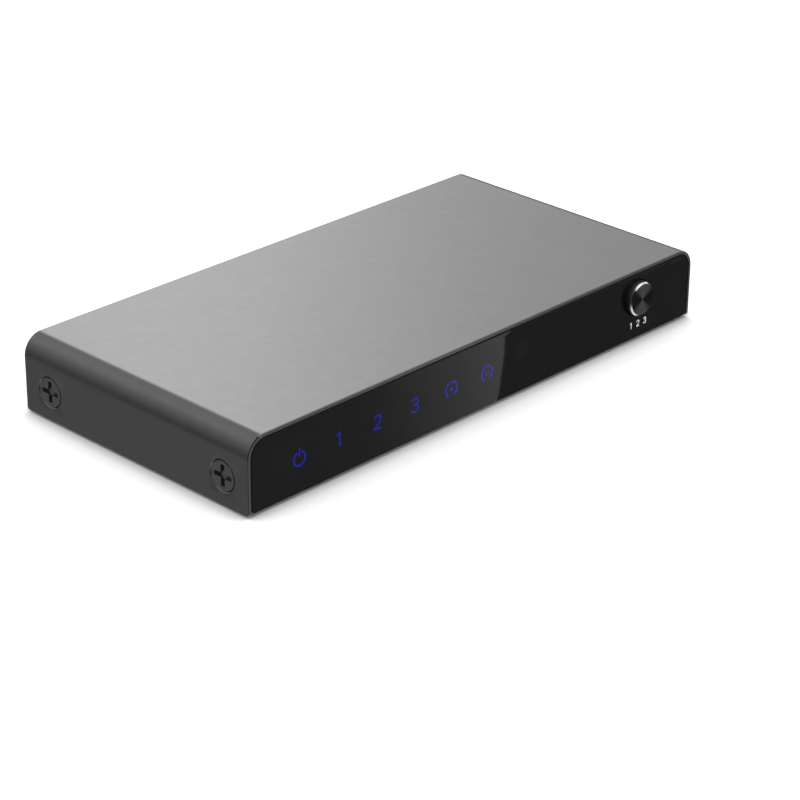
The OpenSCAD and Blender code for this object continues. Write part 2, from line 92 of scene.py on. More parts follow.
def noise(nt, vec, scale, detail=4.0, rough=0.55):
    n = nt.nodes.new("ShaderNodeTexNoise")
    n.inputs["Scale"].default_value = scale
    n.inputs["Detail"].default_value = detail
    n.inputs["Roughness"].default_value = rough
    nt.links.new(vec, n.inputs["Vector"])
    return n.outputs["Fac"]


def ramp(nt, fac, stops):
    r = nt.nodes.new("ShaderNodeValToRGB")
    el = r.color_ramp.elements
    while len(el) < len(stops):
        el.new(0.5)
    for e, (pos, col) in zip(el, stops):
        e.position = pos
        e.color = (*col, 1.0) if len(col) == 3 else col
    nt.links.new(fac, r.inputs["Fac"])
    return r.outputs["Color"]


def remap(nt, fac, lo, hi, from_lo=0.25, from_hi=0.75):
    n = nt.nodes.new("ShaderNodeMapRange")
    n.inputs["From Min"].default_value = from_lo
    n.inputs["From Max"].default_value = from_hi
    n.inputs["To Min"].default_value = lo
    n.inputs["To Max"].default_value = hi
    nt.links.new(fac, n.inputs["Value"])
    return n.outputs["Result"]


def bump(nt, height, strength, distance):
    b = nt.nodes.new("ShaderNodeBump")
    b.inputs["Strength"].default_value = strength
    b.inputs["Distance"].default_value = distance
    nt.links.new(height, b.inputs["Height"])
    return b.outputs["Normal"]


def surface(name, base, metallic=0.0, rough=0.5, vary=0.08, scale=350.0, rough_vary=0.05,
            grain=0.1, grain_scale=9000.0, grain_depth=0.00002, stretch=(1, 1, 1), **sockets):
    """A finish with drifting tone, drifting gloss and a fine surface grain."""
    m, nt, bsdf = new_material(name)
    vec = coords(nt, stretch)
    dark = [c * (1 - vary) for c in base]
    pale = [min(1.0, c * (1 + vary)) for c in base]
    tone = noise(nt, vec, scale)
    nt.links.new(ramp(nt, tone, [(0.32, dark), (0.68, pale)]), bsdf.inputs["Base Color"])
    gloss = noise(nt, vec, scale * 3.3)
    nt.links.new(remap(nt, gloss, max(0.02, rough - rough_vary), min(1.0, rough + rough_vary)), bsdf.inputs["Roughness"])
    fine = noise(nt, vec, grain_scale, 2.0)
    nt.links.new(bump(nt, fine, grain, grain_depth), bsdf.inputs["Normal"])
    bsdf.inputs["Metallic"].default_value = metallic
    for key, value in sockets.items():
        bsdf.inputs[key.replace("_", " ")].default_value = value
    return m


def panel_material():
    """Polished black acrylic; the infrared window shows as a faintly paler disc."""
    m, nt, bsdf = new_material("panel_gloss")
    tc = nt.nodes.new("ShaderNodeTexCoord")
    vec = tc.outputs["Object"]
    off = nt.nodes.new("ShaderNodeVectorMath")
    off.operation = "SUBTRACT"
    off.inputs[1].default_value = (IR_X * MM, PANEL_Y0 * MM, IR_Z * MM)
    nt.links.new(vec, off.inputs[0])
    length = nt.nodes.new("ShaderNodeVectorMath")
    length.operation = "LENGTH"
    nt.links.new(off.outputs["Vector"], length.inputs[0])
    window = remap(nt, length.outputs["Value"], 1.0, 0.0, 0.0019, 0.0026)
    drift = noise(nt, vec, 160.0)
    black = ramp(nt, drift, [(0.3, (0.0026, 0.0026, 0.0027)), (0.7, (0.0032, 0.0032, 0.0033))])
    mix = nt.nodes.new("ShaderNodeMix")
    mix.data_type = "RGBA"
    nt.links.new(window, mix.inputs["Factor"])
    nt.links.new(black, mix.inputs["A"])
    mix.inputs["B"].default_value = (0.0054, 0.0047, 0.0050, 1.0)
    nt.links.new(mix.outputs["Result"], bsdf.inputs["Base Color"])
    smear = noise(nt, vec, 90.0, 5.0)
    nt.links.new(remap(nt, smear, 0.010, 0.022), bsdf.inputs["Roughness"])
    orange_peel = noise(nt, vec, 700.0, 1.0)
    nt.links.new(bump(nt, orange_peel, 0.006, 0.00001), bsdf.inputs["Normal"])
    bsdf.inputs["IOR"].default_value = 1.30
    return m


def legend_material(name, base, glow, strength, gloss=(0.012, 0.022)):
    """Translucent print that glows: the panel legends have light behind them, the white print gets a faint painted
    glow; tone and glow drift a little at random.
    """
    m, nt, bsdf = new_material(name)
    vec = coords(nt)
    drift = noise(nt, vec, 900.0)
    nt.links.new(ramp(nt, drift, [(0.3, [c * 0.9 for c in base]), (0.7, base)]), bsdf.inputs["Base Color"])
    nt.links.new(ramp(nt, drift, [(0.25, [c * 0.82 for c in glow]), (0.75, [min(1.0, c * 1.08) for c in glow])]), bsdf.inputs["Emission Color"])
    bsdf.inputs["Emission Strength"].default_value = strength
    nt.links.new(remap(nt, drift, *gloss), bsdf.inputs["Roughness"])
    bsdf.inputs["IOR"].default_value = 1.30
    return m


def spun_metal(name, base, rough, aniso, groove, painted_highlight=None):
    """Metal turned on a lathe: fine rings about the button's axis; painted_highlight, when given, is a paler tone
    painted above and below the middle as the turned face's highlight.
    """
    m, nt, bsdf = new_material(name)
    tc = nt.nodes.new("ShaderNodeTexCoord")
    vec = tc.outputs["Object"]
    off = nt.nodes.new("ShaderNodeVectorMath")
    off.operation = "SUBTRACT"
    off.inputs[1].default_value = (BTN_X * MM, 0.0, BTN_Z * MM)
    nt.links.new(vec, off.inputs[0])
    flat = nt.nodes.new("ShaderNodeVectorMath")
    flat.operation = "MULTIPLY"
    flat.inputs[1].default_value = (1.0, 0.0, 1.0)
    nt.links.new(off.outputs["Vector"], flat.inputs[0])
    radius = nt.nodes.new("ShaderNodeVectorMath")
    radius.operation = "LENGTH"
    nt.links.new(flat.outputs["Vector"], radius.inputs[0])
    rings = nt.nodes.new("ShaderNodeTexNoise")
    rings.noise_dimensions = "1D"
    rings.inputs["Scale"].default_value = 14000.0
    rings.inputs["Detail"].default_value = 3.0
    nt.links.new(radius.outputs["Value"], rings.inputs["W"])
    tone = ramp(nt, rings.outputs["Fac"], [(0.3, [c * 0.86 for c in base]), (0.7, base)])
    # painted highlight: a paler tone above and below the axis stands in for the bow-tie highlight of turned metal
    if painted_highlight:
        unit = nt.nodes.new("ShaderNodeVectorMath")
        unit.operation = "NORMALIZE"
        nt.links.new(flat.outputs["Vector"], unit.inputs[0])
        part = nt.nodes.new("ShaderNodeVectorMath")
        part.operation = "DOT_PRODUCT"
        part.inputs[1].default_value = (math.sin(math.radians(8)), 0.0, math.cos(math.radians(8)))
        nt.links.new(unit.outputs["Vector"], part.inputs[0])
        steep = nt.nodes.new("ShaderNodeMath")
        steep.operation = "ABSOLUTE"
        nt.links.new(part.outputs["Value"], steep.inputs[0])
        highlight_share = remap(nt, steep.outputs[0], 0.0, 1.0, 0.47, 0.90)
        other = ramp(nt, rings.outputs["Fac"], [(0.3, [c * 0.86 for c in painted_highlight]), (0.7, painted_highlight)])
        mix = nt.nodes.new("ShaderNodeMix")
        mix.data_type = "RGBA"
        nt.links.new(highlight_share, mix.inputs["Factor"])
        nt.links.new(tone, mix.inputs["A"])
        nt.links.new(other, mix.inputs["B"])
        tone = mix.outputs["Result"]
    nt.links.new(tone, bsdf.inputs["Base Color"])
    nt.links.new(remap(nt, rings.outputs["Fac"], rough - 0.04, rough + 0.04), bsdf.inputs["Roughness"])
    if groove:
        nt.links.new(bump(nt, rings.outputs["Fac"], groove, 0.00001), bsdf.inputs["Normal"])
    bsdf.inputs["Metallic"].default_value = 1.0
    if aniso:
        bsdf.inputs["Anisotropic"].default_value = aniso
        bsdf.inputs["Anisotropic Rotation"].default_value = 0.25
        tan = nt.nodes.new("ShaderNodeTangent")
        tan.direction_type = "RADIAL"
        tan.axis = "Y"
        nt.links.new(tan.outputs["Tangent"], bsdf.inputs["Tangent"])
    return m


def board_material():
    """Green solder mask with the copper tracks showing through as paler lines."""
    m, nt, bsdf = new_material("board_mask")
    vec = coords(nt)
    tracks = nt.nodes.new("ShaderNodeTexBrick")
    tracks.inputs["Scale"].default_value = 260.0
    tracks.inputs["Mortar Size"].default_value = 0.035
    tracks.inputs["Color1"].default_value = (0.010, 0.085, 0.040, 1)
    tracks.inputs["Color2"].default_value = (0.012, 0.100, 0.046, 1)
    tracks.inputs["Mortar"].default_value = (0.035, 0.190, 0.085, 1)
    nt.links.new(vec, tracks.inputs["Vector"])
    nt.links.new(tracks.outputs["Color"], bsdf.inputs["Base Color"])
    drift = noise(nt, vec, 500.0)
    nt.links.new(remap(nt, drift, 0.28, 0.42), bsdf.inputs["Roughness"])
    nt.links.new(bump(nt, tracks.outputs["Fac"], 0.15, 0.00003), bsdf.inputs["Normal"])
    return m


MAT = {
    "cover_paint": surface("cover_paint", (0.170, 0.170, 0.171), 0.95, 0.23, 0.03, 420.0, 0.015, 0.04, 16000.0),
    "tray_paint": surface("tray_paint", (0.150, 0.150, 0.152), 0.88, 0.38, 0.05, 420.0, 0.03, 0.10, 12000.0),
    "panel_gloss": panel_material(),
    "screw_dark": surface("screw_dark", (0.175, 0.175, 0.176), 0.93, 0.32, 0.05, 900.0, 0.03, 0.05, 14000.0),
    # near black painted shade for the walls and wing floors of the screws' driver recess
    "screw_recess": surface("screw_recess", (0.010, 0.010, 0.010), 0.3, 0.50, 0.25, 1500.0, 0.05, 0.10, 14000.0),
    "plated_steel": surface("plated_steel", (0.56, 0.56, 0.54), 1.0, 0.32, 0.08, 600.0, 0.06, 0.05, 9000.0),
    "foot_rubber": surface("foot_rubber", (0.018, 0.018, 0.018), 0.0, 0.78, 0.15, 800.0, 0.06, 0.5, 7000.0, 0.00004),
    "board_mask": board_material(),
    "socket_nickel": surface("socket_nickel", (0.60, 0.59, 0.56), 1.0, 0.26, 0.06, 700.0, 0.06, 0.06, 6000.0, 0.00001, (1, 0.08, 1)),
    "black_plastic": surface("black_plastic", (0.012, 0.012, 0.013), 0.0, 0.48, 0.18, 900.0, 0.06, 0.25, 9000.0),
    "contact_gold": surface("contact_gold", (0.80, 0.55, 0.20), 1.0, 0.24, 0.08, 1500.0, 0.05, 0.05, 9000.0),
    "tape_black": surface("tape_black", (0.02, 0.02, 0.02), 0.0, 0.7, 0.15, 900.0, 0.06, 0.3, 9000.0),
    # button face: dark turned metal with a paler painted highlight above and below its middle
    "button_face": spun_metal("button_face", (0.012, 0.012, 0.013), 0.30, 0.60, 0.08, (0.160, 0.160, 0.167)),
    "button_bevel": spun_metal("button_bevel", (0.88, 0.88, 0.89), 0.09, 0.0, 0.01),
    "button_side": spun_metal("button_side", (0.13, 0.13, 0.135), 0.40, 0.0, 0.05),
    "smoked_epoxy": surface("smoked_epoxy", (0.012, 0.008, 0.012), 0.0, 0.12, 0.15, 900.0, 0.03, 0.03, 5000.0),
    "led_white": surface("led_white", (0.80, 0.80, 0.76), 0.0, 0.45, 0.05, 1200.0, 0.05, 0.1, 9000.0),
    "switch_white": surface("switch_white", (0.78, 0.78, 0.76), 0.0, 0.5, 0.05, 1200.0, 0.05, 0.1, 9000.0),
    "chip_epoxy": surface("chip_epoxy", (0.016, 0.016, 0.017), 0.0, 0.55, 0.2, 1500.0, 0.06, 0.3, 12000.0),
    "ceramic_tan": surface("ceramic_tan", (0.46, 0.33, 0.20), 0.0, 0.5, 0.12, 2000.0, 0.05, 0.2, 12000.0),
    "can_metal": surface("can_metal", (0.62, 0.62, 0.63), 1.0, 0.3, 0.06, 900.0, 0.05, 0.05, 7000.0),
    "legend_blue": legend_material("legend_blue", (0.002, 0.002, 0.010), (0.007, 0.010, 0.275), 1.0),
    "legend_dim": legend_material("legend_dim", (0.002, 0.002, 0.008), (0.018, 0.018, 0.180), 1.0),
    # white print with a faint painted glow
    "print_white": legend_material("print_white", (0.60, 0.60, 0.60), (0.20, 0.20, 0.20), 0.25, (0.3, 0.45)),
    "print_grey": surface("print_grey", (0.42, 0.42, 0.42), 0.0, 0.5, 0.05, 1500.0, 0.05, 0.1, 9000.0),
}


# ---------------------------------------------------------------- mesh tools
def finish_mesh(name, bm, mats, body, replaces=(), sharp=40.0, weighted=True):
    """Turns a bmesh built in millimetres into a piece that rides on a body."""
    bmesh.ops.remove_doubles(bm, verts=bm.verts, dist=1e-5)
    bmesh.ops.recalc_face_normals(bm, faces=bm.faces)
    me = bpy.data.meshes.new(name)
    bm.to_mesh(me)
    bm.free()
    me.transform(Matrix.Scale(MM, 4))
    for p in me.polygons:
        p.use_smooth = True
    me.set_sharp_from_angle(angle=math.radians(sharp))
    for m in mats:
        me.materials.append(MAT[m])
    ob = bpy.data.objects.new(name, me)
    scene.collection.objects.link(ob)
    if weighted:
        wn = ob.modifiers.new("weighted", "WEIGHTED_NORMAL")
        wn.keep_sharp = True
        wn.weight = 60
    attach(ob, body)
    if replaces:
        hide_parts(*replaces)
    return ob


def add_ring(bm, pts):
    return [bm.verts.new(p) for p in pts]


def bridge(bm, a, b, closed=True, mat=0):
    n = len(a)
    for i in range(n if closed else n - 1):
        j = (i + 1) % n
        f = bm.faces.new((a[i], a[j], b[j], b[i]))
        f.material_index = mat


def fan(bm, ring, centre, mat=0):
    c = bm.verts.new(centre)
    for i in range(len(ring)):
        bm.faces.new((ring[i], ring[(i + 1) % len(ring)], c)).material_index = mat


def lathe(bm, profile, place, seg=96, mat=0, mats=None):
    """Turns a list of (radius, depth) about an axis; place(a, b, depth) gives the point."""
    prev = None
    for k, (r, h) in enumerate(profile):
        m = mats[k - 1] if mats and k else mat
        if r < 1e-6:
            if prev is not None:
                fan(bm, prev, place(0, 0, h), m)
            prev = ("pole", place(0, 0, h))
            continue
        ring = add_ring(bm, [place(r * math.cos(2 * math.pi * i / seg), r * math.sin(2 * math.pi * i / seg), h) for i in range(seg)])
        if isinstance(prev, tuple):
            fan(bm, ring, prev[1], m)
        elif prev is not None:
            bridge(bm, prev, ring, True, m)
        prev = ring


def rounded(points, radii, n=6):
    """A closed outline with each corner replaced by an arc."""
    out = []
    k = len(points)
    for i in range(k):
        a, b, c = (Vector(points[(i + d) % k]) for d in (-1, 0, 1))
        r = radii[i] if hasattr(radii, "__len__") else radii
        if r <= 0:
            out.append(tuple(b))
            continue
        u, v = (a - b).normalized(), (c - b).normalized()
        half = math.acos(max(-1, min(1, u.dot(v)))) / 2
        m = b + (u + v).normalized() * (r / math.sin(half))
        p, q = b + u * (r / math.tan(half)) - m, b + v * (r / math.tan(half)) - m
        a0 = math.atan2(p.y, p.x)
        d = math.atan2(q.y, q.x) - a0
        d = d - 2 * math.pi if d > math.pi else d + 2 * math.pi if d < -math.pi else d
        for s in range(n + 1):
            t = a0 + d * s / n
            out.append((m.x + r * math.cos(t), m.y + r * math.sin(t)))
    return out


def fill_between(bm, loops, mat=0):
    """A flat face bounded by an outer loop and any holes."""
    edges = []
    for loop in loops:
        for i in range(len(loop)):
            a, b = loop[i], loop[(i + 1) % len(loop)]
            edges.append(bm.edges.get((a, b)) or bm.edges.new((a, b)))
    made = bmesh.ops.triangle_fill(bm, use_beauty=True, use_dissolve=False, edges=edges)
    for f in made["geom"]:
        if isinstance(f, bmesh.types.BMFace):
            f.material_index = mat


# ---------------------------------------------------------------- cover
def build_cover():
    bm = bmesh.new()
    edge, inner_edge, low, arc = 0.25, 0.06, 0.2, 18
    patch = 4.3

    def paths(d, di, zb):
        def run(half, rad):
            left = [(-half, zb + low), (-half, SCREW_Z - patch), (-half, SCREW_Z + patch)]
            for i in range(arc + 1):
                t = math.pi - 0.5 * math.pi * i / arc
                left.append((-(HW - R) + rad * math.cos(t), (Z1 - R) + rad * math.sin(t)))
            return left + [(-x, z) for x, z in reversed(left)]
        outer = run(HW - d, R - d)
        inner = run(HW - T + di, R - T + di)
        # rounded lower end of the left wall, from its inner face round to its outer face
        xo, xi = HW - d, HW - T + di
        end = []
        for i in range(1, 5):
            t = 0.5 * math.pi * i / 4
            end.append((-(xi + low * (1 - math.cos(t))), zb + low * (1 - math.sin(t))))
        for i in range(4):
            t = 0.5 * math.pi * (1 - i / 4)
            end.append((-(xo - low * (1 - math.cos(t))), zb + low * (1 - math.sin(t))))
        return outer, inner, end

    foot = 0.7

    def low_z(s):
        return Z0 + (foot - math.sqrt(max(0.0, foot * foot - (foot - s) ** 2)) if s < foot else 0.0)

    def roll_in(s, r):
        return r - math.sqrt(max(0.0, r * r - (r - s) ** 2)) if s < r else 0.0

    near = [edge * (1 - math.cos(0.5 * math.pi * i / 7)) for i in range(8)] + [0.02, 0.045, 0.33, 0.42, 0.52, 0.62, 0.7]
    near = sorted(near)
    stations = [(-HD + s, roll_in(s, edge), roll_in(s, inner_edge), low_z(s)) for s in near]
    mid = sorted([y + k * patch for y in SCREW_YS for k in (-1, 1)] + [0.0])
    stations += [(y, 0.0, 0.0, Z0) for y in mid]
    stations += [(HD - s, roll_in(s, edge), roll_in(s, inner_edge), low_z(s)) for s in reversed(near)]

    rings = []
    for y, d, di, zb in stations:
        outer, inner, end = paths(d, di, zb)
        loop = outer + [(-x, z) for x, z in reversed(end)] + inner[::-1] + end
        rings.append([bm.verts.new((x, y, z)) for x, z in loop])
    n, k, L = len(outer), len(end), len(rings[0])
    in0 = n + k                        # first inner vertex, right hand bottom
    cells = []                         # cells that carry a countersunk hole
    for j in range(len(rings) - 1):
        ya, yb = stations[j][0], stations[j + 1][0]
        hole = next((ys for ys in SCREW_YS if abs(ya - ys + patch) < 1e-6 and abs(yb - ys - patch) < 1e-6), None)
        for i in range(L):
            i2 = (i + 1) % L
            quad = (rings[j][i], rings[j][i2], rings[j + 1][i2], rings[j + 1][i])
            if hole is not None and i in (1, n - 3):
                cells.append((-1 if i == 1 else 1, hole, "out", quad))
            elif hole is not None and i in (in0 + 1, in0 + n - 3):
                cells.append((1 if i == in0 + 1 else -1, hole, "in", quad))
            else:
                bm.faces.new(quad)
    for ring in (rings[0], rings[-1]):
        for i in range(n - 1):
            bm.faces.new((ring[i], ring[i + 1], ring[in0 + n - 2 - i], ring[in0 + n - 1 - i]))
        bm.faces.new([ring[0]] + ring[in0 + n - 1:])
        bm.faces.new(ring[n - 1:in0 + 1])
    # countersunk holes
    seg = 64
    profile = [(SINK_R + 0.05, 0.0), (SINK_R + 0.02, 0.008), (SINK_R - 0.01, 0.030), (SINK_R - 0.08, 0.10),
               (SINK_R - 0.40, 0.42), (SINK_R - 0.66, 0.68), (SINK_R - 0.68, T)]
    for side in (-1, 1):
        for ys in SCREW_YS:
            loops = []
            for r, depth in profile:
                loops.append(add_ring(bm, [(side * (HW - depth), ys + r * math.cos(2 * math.pi * i / seg), SCREW_Z + r * math.sin(2 * math.pi * i / seg)) for i in range(seg)]))
            for a, b in zip(loops, loops[1:]):
                bridge(bm, a, b)
            for what, ring in (("out", loops[0]), ("in", loops[-1])):
                quad = next(c[3] for c in cells if c[0] == side and c[1] == ys and c[2] == what)
                corners = sorted(quad, key=lambda v: math.atan2(v.co.z - SCREW_Z, v.co.y - ys) % (2 * math.pi))
                q = seg // 4
                for m in range(4):
                    for i in range(m * q, (m + 1) * q):
                        bm.faces.new((corners[m], ring[i], ring[(i + 1) % seg]))
                    bm.faces.new((corners[m], corners[(m + 1) % 4], ring[((m + 1) * q) % seg]))
    return finish_mesh("cover_shell", bm, ["cover_paint"], "housing", ["top_cover"], 50.0)


# ---------------------------------------------------------------- side screws
def build_screws():
    bm = bmesh.new()
    face, seg = 0.03, 64

    def cross(length, width, nook):
        a, w, c = length, width, nook
        pts, rad = [], []
        for k in range(4):
            co, si = (1, 0, -1, 0)[k], (0, 1, 0, -1)[k]
            for (u, v), r in (((w + c, -w), 0.16), ((a, -w), 0.14), ((a, w), 0.14)):
                pts.append((u * co - v * si, u * si + v * co))
                rad.append(r)
            pts.append(((w + c) * co - w * si, (w + c) * si + w * co))
            rad.append(0.16)
        return rounded(pts, rad, 3)

    for side in (-1, 1):
        for ys in SCREW_YS:
            def place(a, b, depth, side=side, ys=ys):
                return (side * (HW - depth), ys + a, SCREW_Z + b)
            # head rim, cone and shank
            rim = add_ring(bm, [place(2.92 * math.cos(2 * math.pi * i / seg), 2.92 * math.sin(2 * math.pi * i / seg), face) for i in range(seg)])
            last = rim
            for r, h in ((2.96, face + 0.010), (2.98, face + 0.035), (2.98, 0.24), (2.53, 0.71), (1.45, 0.72), (1.45, 4.05), (1.25, 4.2)):
                ring = add_ring(bm, [place(r * math.cos(2 * math.pi * i / seg), r * math.sin(2 * math.pi * i / seg), h) for i in range(seg)])
                bridge(bm, last, ring)
                last = ring
            fan(bm, last, place(0, 0, 4.2))
            # driver recess: rolled lip, steep walls and wing floors in near black painted shade, a raised middle
            loops = []
            for length, width, nook, depth in ((2.32, 0.55, 0.30, face), (2.28, 0.52, 0.29, face + 0.02), (2.25, 0.50, 0.28, face + 0.06),
                                               (2.08, 0.44, 0.24, face + 0.56), (0.98, 0.42, 0.20, face + 0.60), (0.72, 0.40, 0.12, face + 0.36)):
                loops.append(add_ring(bm, [place(u, v, depth) for u, v in cross(length, width, nook)]))
            # index 1 puts the painted shade on the walls and wing floors
            for k, (a, b) in enumerate(zip(loops, loops[1:])):
                bridge(bm, a, b, True, 0 if k < 2 or k == 4 else 1)
            fan(bm, loops[-1], place(0, 0, face + 0.24), 0)
            fill_between(bm, [rim, loops[0]])
    return finish_mesh("side_screw_set", bm, ["screw_dark", "screw_recess"], "housing", ["side_screws"], 35.0)


# ---------------------------------------------------------------- front panel
def build_panel():
    bm = bmesh.new()
    half, zb, zt = HW - T - 0.2, Z0 + 0.3, Z1 - T - 0.2
    edge = 0.16

    def outline(d):
        return rounded([(-half + d, zb + d), (half - d, zb + d), (half - d, zt - d), (-half + d, zt - d)],
                       [0.8 - d, 0.8 - d, R - T - 0.2 - d, R - T - 0.2 - d], 14)

    loops = []
    for i in range(5):
        t = 0.5 * math.pi * i / 4
        loops.append(add_ring(bm, [(x, PANEL_Y0 + edge * (1 - math.cos(t)), z) for x, z in outline(edge * (1 - math.sin(t)))]))
    loops.append(add_ring(bm, [(x, PANEL_Y1, z) for x, z in outline(0.0)]))
    for a, b in zip(loops, loops[1:]):
        bridge(bm, a, b)
    seg, bore = 96, 3.9
    holes = []
    for r, y in ((bore + 0.14, PANEL_Y0), (bore + 0.05, PANEL_Y0 + 0.03), (bore, PANEL_Y0 + 0.12), (bore, PANEL_Y1)):
        holes.append(add_ring(bm, [(BTN_X + r * math.cos(2 * math.pi * i / seg), y, BTN_Z + r * math.sin(2 * math.pi * i / seg)) for i in range(seg)]))
    for a, b in zip(holes, holes[1:]):
        bridge(bm, a, b)
    fill_between(bm, [loops[0], holes[0]])
    fill_between(bm, [loops[-1], holes[-1]])
    return finish_mesh("front_panel_plate", bm, ["panel_gloss"], "housing", ["front_panel"], 50.0)


# ---------------------------------------------------------------- select button
def build_button():
    bm = bmesh.new()
    y0 = -32.7
    profile, mats = [(0.0, y0 + 0.02)], []

    def step(r, y, m):
        profile.append((r, y))
        mats.append(m)

    for i in range(1, 13):             # faintly dished face
        r = 3.31 * i / 12
        step(r, y0 + 0.02 * (1 - (i / 12) ** 2), 0)
    step(3.33, y0 + 0.004, 0)
    step(3.35, y0 + 0.018, 0)
    step(3.60, y0 + 0.315, 1)
    step(3.62, y0 + 0.345, 2)
    step(3.66, y0 + 0.43, 2)
    step(3.69, y0 + 0.52, 2)
    step(3.70, y0 + 0.62, 2)
    step(3.70, y0 + 1.2, 2)
    step(3.70, y0 + 2.72, 2)
    step(3.62, y0 + 2.8, 2)
    step(3.05, y0 + 2.8, 2)
    step(3.05, y0 + 0.9, 2)
    step(0.0, y0 + 0.9, 2)
    lathe(bm, profile, lambda a, b, h: (BTN_X + a, h, BTN_Z + b), 128, 0, mats)
    return finish_mesh("select_button_top", bm, ["button_face", "button_bevel", "button_side"], "select_button", ["select_button_cap"], 12.0)


# ---------------------------------------------------------------- printed marks
def seg_dist(U, V, a, b):
    ax, ay = a
    dx, dy = b[0] - ax, b[1] - ay
    t = np.clip(((U - ax) * dx + (V - ay) * dy) / max(dx * dx + dy * dy, 1e-12), 0, 1)
    return np.hypot(U - ax - t * dx, V - ay - t * dy)


def arc_points(cx, cy, rx, ry, a0, a1, n=40):
    return [(cx + rx * math.cos(math.radians(a0 + (a1 - a0) * i / n)), cy + ry * math.sin(math.radians(a0 + (a1 - a0) * i / n))) for i in range(n + 1)]


def outlines(strokes, solids, step):
    """Closed outlines of a set of round-ended strokes (points, half width) and convex solids, by marching squares."""
    pts = [p for s, _ in strokes for p in s] + [p for s in solids for p in s]
    pad = max([w for _, w in strokes] + [0.1]) + 3 * step
    x0, x1 = min(p[0] for p in pts) - pad, max(p[0] for p in pts) + pad
    y0, y1 = min(p[1] for p in pts) - pad, max(p[1] for p in pts) + pad
    nx, ny = int((x1 - x0) / step) + 2, int((y1 - y0) / step) + 2
    xs, ys = x0 + step * np.arange(nx), y0 + step * np.arange(ny)
    U, V = np.meshgrid(xs, ys, indexing="ij")
    F = np.full(U.shape, 1e3)
    for s, w in strokes:
        for a, b in zip(s, s[1:]):
            F = np.minimum(F, seg_dist(U, V, a, b) - w)
    for s in solids:
        area = sum(s[i][0] * s[(i + 1) % len(s)][1] - s[(i + 1) % len(s)][0] * s[i][1] for i in range(len(s)))
        s = s if area > 0 else s[::-1]
        G = np.full(U.shape, -1e3)
        for i in range(len(s)):
            (ax, ay), (bx, by) = s[i], s[(i + 1) % len(s)]
            ln = math.hypot(bx - ax, by - ay)
            G = np.maximum(G, ((bx - ax) * (ay - V) - (by - ay) * (ax - U)) / ln)
        F = np.minimum(F, G)
    F[np.abs(F) < 1e-9] = 1e-9
    inside = F < 0
    case = inside[:-1, :-1] * 1 + inside[1:, :-1] * 2 + inside[1:, 1:] * 4 + inside[:-1, 1:] * 8
    table = {1: "BL", 2: "RB", 3: "RL", 4: "TR", 5: "BLTR", 6: "TB", 7: "TL", 8: "LT", 9: "BT", 10: "RBLT", 11: "RT", 12: "LR", 13: "BR", 14: "LB"}
    follow = {}
    for i, j in zip(*np.nonzero((case > 0) & (case < 15))):
        key = {"B": ("h", i, j), "T": ("h", i, j + 1), "L": ("v", i, j), "R": ("v", i + 1, j)}
        t = table[int(case[i, j])]
        for q in range(0, len(t), 2):
            follow[key[t[q]]] = key[t[q + 1]]

    def point(k):
        d, i, j = k
        i2, j2 = (i + 1, j) if d == "h" else (i, j + 1)
        t = F[i, j] / (F[i, j] - F[i2, j2])
        return (xs[i] + t * (xs[i2] - xs[i]), ys[j] + t * (ys[j2] - ys[j]))

    loops = []
    while follow:
        start = next(iter(follow))
        k, loop = start, []
        while True:
            loop.append(point(k))
            k = follow.pop(k)
            if k == start:
                break
        thin = [loop[0]]                # drop points that lie on a straight run
        for a, b in zip(loop[1:], loop[2:] + loop[:1]):
            o = thin[-1]
            off = abs((b[0] - o[0]) * (a[1] - o[1]) - (b[1] - o[1]) * (a[0] - o[0])) / max(math.hypot(b[0] - o[0], b[1] - o[1]), 1e-9)
            if off > step * 0.06 or math.hypot(a[0] - o[0], a[1] - o[1]) > 12 * step:
                thin.append(a)
        loops.append(thin)
    return loops


def mark(name, strokes, solids, place, thick, mat, step=0.02):
    """A thin printed mark: place(u, v, h) maps it onto the surface, h out of the surface."""
    bm = bmesh.new()
    loops = outlines(strokes, solids, step)
    top = [add_ring(bm, [place(u, v, thick) for u, v in lp]) for lp in loops]
    bot = [add_ring(bm, [place(u, v, -0.01) for u, v in lp]) for lp in loops]
    for a, b in zip(top, bot):
        bridge(bm, a, b)
    fill_between(bm, top)
    fill_between(bm, bot)
    return finish_mesh(name, bm, [mat], "housing", (), 40.0, False)


def digit(d, w, h, half):
    """Stroke paths of a plain numeral, w wide and h tall about its middle."""
    if d == 1:
        return [([(-w * 0.34, h * 0.33), (w * 0.10, h * 0.5), (w * 0.10, -h * 0.5)], half)]
    if d == 2:
        top = arc_points(0, h * 0.5 - w * 0.5, w * 0.5, w * 0.5, 165, -28, 36)
        return [(top + [(-w * 0.5, -h * 0.5), (w * 0.53, -h * 0.5)], half)]
    r1, r2 = h * 0.235, h * 0.265
    up = arc_points(0, h * 0.5 - r1, w * 0.46, r1, 160, -90, 36)
    lo = arc_points(0, -h * 0.5 + r2, w * 0.52, r2, 90, -160, 40)
    return [(up, half), (lo, half), ([(-w * 0.08, up[-1][1]), (0.0, up[-1][1])], half)]


def on_panel(x, z):
    return lambda u, v, h: (x + u, PANEL_Y0 - h, z + v)


def on_rear(x, z):
    return lambda u, v, h: (x - u, REAR_Y + h, z + v)


def loop_arrow():
    ring = arc_points(0, 0, 1.52, 1.52, 236, -38, 60)
    tip = (1.52 * math.cos(math.radians(-52)), 1.52 * math.sin(math.radians(-52)))
    back = (1.52 * math.cos(math.radians(-26)), 1.52 * math.sin(math.radians(-26)))
    d = Vector((tip[0] - back[0], tip[1] - back[1])).normalized()
    s = Vector((-d.y, d.x))
    base = Vector(back) + d * 0.02
    end = Vector(tip) + d * 0.35
    head = [tuple(base + s * 0.52), tuple(base - s * 0.52), tuple(end)]
    return [(ring, 0.20)], [head]


